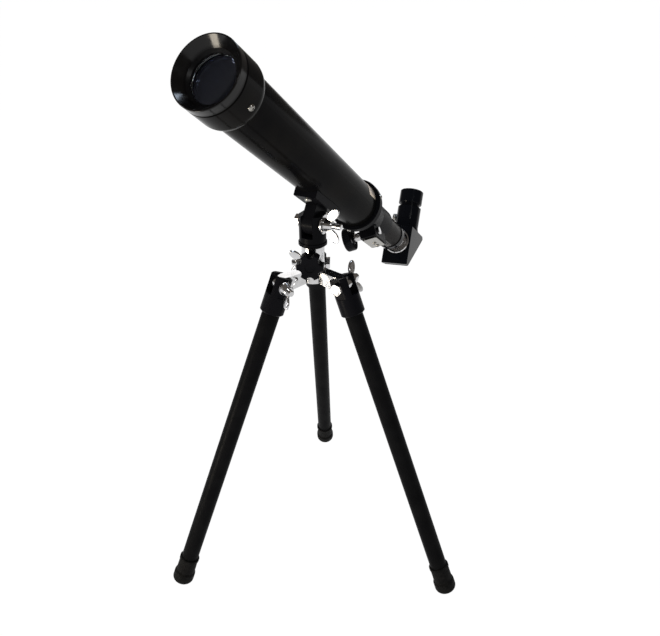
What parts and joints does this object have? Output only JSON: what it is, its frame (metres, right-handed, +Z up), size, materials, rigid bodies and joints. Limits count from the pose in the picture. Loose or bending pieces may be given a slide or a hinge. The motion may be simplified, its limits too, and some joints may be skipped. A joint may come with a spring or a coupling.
{
  "type": "telescope on tripod",
  "caption": "Small refracting telescope with a star diagonal and eyepiece, on a folding table-top tripod with an altitude and azimuth head.",
  "frame": {"origin": "bottom centre of the whole object's bounding box, on the surface that the feet stand on", "axes": "+Z up; the telescope points towards -Y and up; +X is the altitude wing nut's side"},
  "size_m": [0.3022, 0.4854, 0.5956],
  "materials": {
    "tube_paint": "gloss black paint",
    "cell_plastic": "black",
    "gloss_plastic": "moulded gloss black",
    "black_plastic": "moulded satin black",
    "black_casting": "satin black enamel",
    "leg_paint": "satin black",
    "draw_enamel": "gloss black",
    "foot_rubber": "moulded rubber",
    "chrome": "bright plate",
    "bright_screws": "nickel plate",
    "thumb_screws": "knurled",
    "rack_steel": "machined",
    "spacer_foil": "thin foil",
    "plate_foil": "satin foil",
    "optical_glass": "coated",
    "stop_black": "flat black"
  },
  "bodies": {
    "tripod": {"crown": "chrome"},
    "lock_knob": {"lock_knob": "black_plastic", "lock_knob_stud": "bright_screws"},
    "rear_leg": {"rear_leg_cap": "black_plastic", "rear_leg_tube": "leg_paint", "rear_leg_foot": "foot_rubber", "rear_pivot_bolt_and_washer": "chrome"},
    "rear_wing_nut": {"rear_pivot_wing_nut": "chrome"},
    "left_leg": {"left_leg_cap": "black_plastic", "left_leg_tube": "leg_paint", "left_leg_foot": "foot_rubber", "left_pivot_bolt_and_washer": "chrome"},
    "left_wing_nut": {"left_pivot_wing_nut": "chrome"},
    "right_leg": {"right_leg_cap": "black_plastic", "right_leg_tube": "leg_paint", "right_leg_foot": "foot_rubber", "right_pivot_bolt_and_washer": "chrome"},
    "right_wing_nut": {"right_pivot_wing_nut": "chrome"},
    "head": {"centre_post": "chrome", "head_yoke": "black_casting", "altitude_washers": "chrome", "altitude_bolt": "chrome"},
    "altitude_nut": {"altitude_wing_nut": "chrome"},
    "telescope": {"main_tube": "tube_paint", "objective_hood": "tube_paint", "lens_cell": "cell_plastic", "lens_retaining_ring": "gloss_plastic", "crown_lens": "optical_glass", "flint_lens": "optical_glass", "lens_spacer": "spacer_foil", "hood_screws": "bright_screws", "tube_baffle": "cell_plastic", "spec_plate": "plate_foil", "saddle": "black_casting", "saddle_screws": "bright_screws", "saddle_nuts": "bright_screws", "focuser_housing": "gloss_plastic", "flange_screws": "bright_screws", "pinion_cover": "chrome", "pinion_cover_screws": "bright_screws", "pinion_bush": "chrome", "tension_screw": "bright_screws"},
    "focus_knob": {"pinion_shaft": "chrome", "focus_knob": "gloss_plastic"},
    "draw_tube": {"draw_tube": "draw_enamel", "focus_rack": "rack_steel", "draw_tube_end": "gloss_plastic"},
    "diagonal_lock": {"diagonal_lock_screw": "thumb_screws"},
    "diagonal": {"diagonal_barrel": "chrome", "diagonal_housing": "gloss_plastic", "prism": "optical_glass", "prism_spring": "bright_screws", "prism_cover": "gloss_plastic", "prism_cover_screws": "bright_screws"},
    "eyepiece_lock": {"eyepiece_lock_screw": "thumb_screws"},
    "eyepiece": {"eyepiece_barrel": "chrome", "eyepiece_body": "gloss_plastic", "eye_lens": "optical_glass", "field_lens": "optical_glass", "field_stop": "stop_black"}
  },
  "joints": [
    {"name": "lock_knob_turn", "type": "hinge", "parent": "tripod", "child": "lock_knob", "pos_m": [-0.02902, -0.09658, 0.3775], "axis": [0.3584, -0.9336, 0], "range_deg": [0, 360]},
    {"name": "rear_leg_fold", "type": "hinge", "parent": "tripod", "child": "rear_leg", "pos_m": [-0.05121, -0.04465, 0.3561], "axis": [-0.9114, -0.4115, 0], "range_deg": [0, 21.9]},
    {"name": "rear_wing_nut_turn", "type": "hinge", "parent": "rear_leg", "child": "rear_wing_nut", "pos_m": [-0.06579, -0.05123, 0.3561], "axis": [-0.9114, -0.4115, 0], "range_deg": [0, 180]},
    {"name": "left_leg_fold", "type": "hinge", "parent": "tripod", "child": "left_leg", "pos_m": [-0.05749, -0.10755, 0.3561], "axis": [0.8121, -0.5835, 0], "range_deg": [0, 21.9]},
    {"name": "left_wing_nut_turn", "type": "hinge", "parent": "left_leg", "child": "left_wing_nut", "pos_m": [-0.0445, -0.11689, 0.3561], "axis": [0.8121, -0.5835, 0], "range_deg": [0, 180]},
    {"name": "right_leg_fold", "type": "hinge", "parent": "tripod", "child": "right_leg", "pos_m": [0.00013, -0.08154, 0.3561], "axis": [0.0993, 0.9951, 0], "range_deg": [0, 21.9]},
    {"name": "right_wing_nut_turn", "type": "hinge", "parent": "right_leg", "child": "right_wing_nut", "pos_m": [0.00172, -0.06562, 0.3561], "axis": [0.0993, 0.9951, 0], "range_deg": [0, 180]},
    {"name": "azimuth", "type": "hinge", "parent": "tripod", "child": "head", "pos_m": [-0.03619, -0.07791, 0.393], "axis": [0, 0, 1], "continuous": true},
    {"name": "altitude", "type": "hinge", "parent": "head", "child": "telescope", "pos_m": [-0.03619, -0.07791, 0.4151], "axis": [-1, 0, 0], "range_deg": [-49, 26]},
    {"name": "altitude_nut_turn", "type": "hinge", "parent": "head", "child": "altitude_nut", "pos_m": [-0.01819, -0.07791, 0.4151], "axis": [1, 0, 0], "range_deg": [0, 180]},
    {"name": "focus_slide", "type": "slide", "parent": "telescope", "child": "draw_tube", "axis": [0, 0.8275, -0.5614], "range_m": [-0.015, 0.025]},
    {"name": "focus_knob_turn", "type": "hinge", "parent": "telescope", "child": "focus_knob", "pos_m": [-0.02584, 0.04258, 0.36374], "axis": [-0.8988, -0.2461, -0.3628], "range_deg": [-216, 360]},
    {"name": "diagonal_turn", "type": "hinge", "parent": "draw_tube", "child": "diagonal", "pos_m": [-0.03619, 0.18524, 0.29258], "axis": [0, -0.8275, 0.5614], "continuous": true},
    {"name": "diagonal_lock_turn", "type": "hinge", "parent": "draw_tube", "child": "diagonal_lock", "pos_m": [-0.05237, 0.13805, 0.33881], "axis": [-0.809, 0.33, 0.4864], "range_deg": [0, 360]},
    {"name": "eyepiece_lock_turn", "type": "hinge", "parent": "diagonal", "child": "eyepiece_lock", "pos_m": [-0.05605, 0.20729, 0.32509], "axis": [-0.9954, -0.0538, -0.0793], "range_deg": [0, 360]},
    {"name": "eyepiece_slide", "type": "slide", "parent": "diagonal", "child": "eyepiece", "axis": [-0.0958, 0.5588, 0.8237], "range_m": [0, 0.025]}
  ],
  "couplings": [
    {"joint": "focus_knob_turn", "follows": "focus_slide", "rad_per_m": 250}
  ]
}
